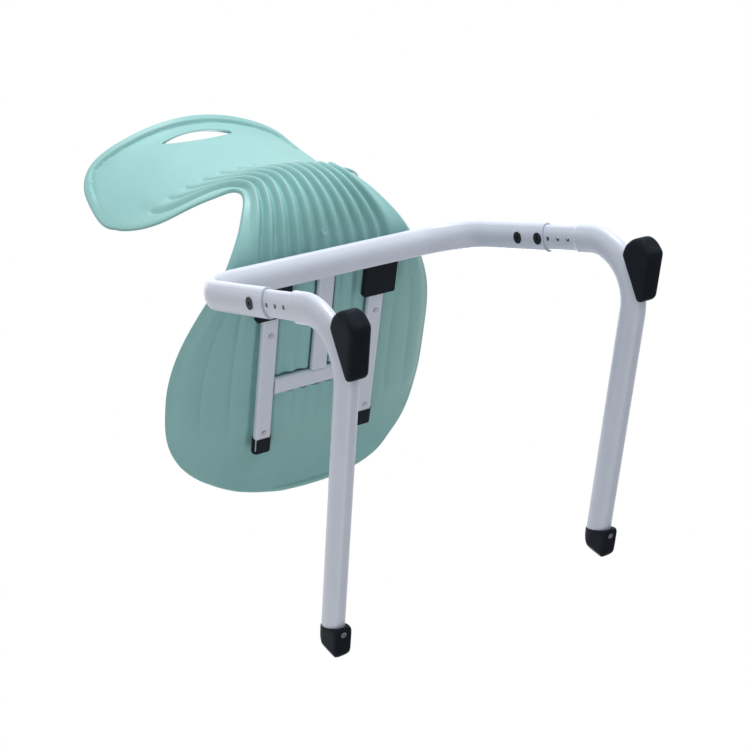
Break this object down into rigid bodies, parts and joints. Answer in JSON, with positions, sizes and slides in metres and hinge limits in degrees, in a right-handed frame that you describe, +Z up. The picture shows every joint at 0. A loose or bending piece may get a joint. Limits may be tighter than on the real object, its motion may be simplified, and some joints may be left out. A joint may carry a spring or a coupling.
{
  "type": "classroom chair",
  "caption": "Cantilever classroom chair with a one-piece ribbed moulded shell, handle slot, oval tube frame, telescopic height-adjustable legs and black feet.",
  "frame": {"origin": "on the floor under the middle of the chair's outline", "axes": "+X to the right seen from behind, +Y to the front of the seat, +Z up"},
  "size_m": [0.4384, 0.506, 0.8072],
  "materials": {
    "moulded_shell": "mint polypropylene, fine matt",
    "frame_paint": "light grey powder coat, satin",
    "black_plastic": "black polypropylene, matt",
    "black_rubber": "black rubber, matt",
    "black_steel": "black oxide",
    "screw_steel": "zinc plated"
  },
  "bodies": {
    "chair_frame": {"upper_frame": "frame_paint", "seat_shell": "moulded_shell", "rail_cross_bar": "frame_paint", "centre_strut": "frame_paint", "left_seat_rail": "frame_paint", "left_rail_cap": "black_plastic", "left_desk_rest": "black_rubber", "left_lower_inner_bush": "black_steel", "left_lower_inner_clamp_screw": "black_steel", "left_upper_inner_bush": "black_steel", "left_upper_inner_clamp_screw": "black_steel", "left_outer_bush": "black_steel", "left_outer_clamp_screw": "black_steel", "left_rear_seat_screw": "screw_steel", "left_front_seat_screw": "screw_steel", "right_seat_rail": "frame_paint", "right_rail_cap": "black_plastic", "right_desk_rest": "black_rubber", "right_lower_inner_bush": "black_steel", "right_lower_inner_clamp_screw": "black_steel", "right_upper_inner_bush": "black_steel", "right_upper_inner_clamp_screw": "black_steel", "right_outer_bush": "black_steel", "right_outer_clamp_screw": "black_steel", "right_rear_seat_screw": "screw_steel", "right_front_seat_screw": "screw_steel"},
    "left_leg_assembly": {"left_leg": "frame_paint", "left_rear_foot": "black_plastic", "left_front_foot": "black_plastic", "left_foot_screw": "screw_steel"},
    "right_leg_assembly": {"right_leg": "frame_paint", "right_rear_foot": "black_plastic", "right_front_foot": "black_plastic", "right_foot_screw": "screw_steel"}
  },
  "joints": [
    {"name": "left_leg_slide", "type": "slide", "parent": "chair_frame", "child": "left_leg_assembly", "axis": [0, 0.3502, 0.9367], "range_m": [0, 0.04]},
    {"name": "right_leg_slide", "type": "slide", "parent": "chair_frame", "child": "right_leg_assembly", "axis": [0, 0.3502, 0.9367], "range_m": [0, 0.04]}
  ],
  "couplings": [
    {"joint": "right_leg_slide", "follows": "left_leg_slide", "ratio": 1}
  ]
}
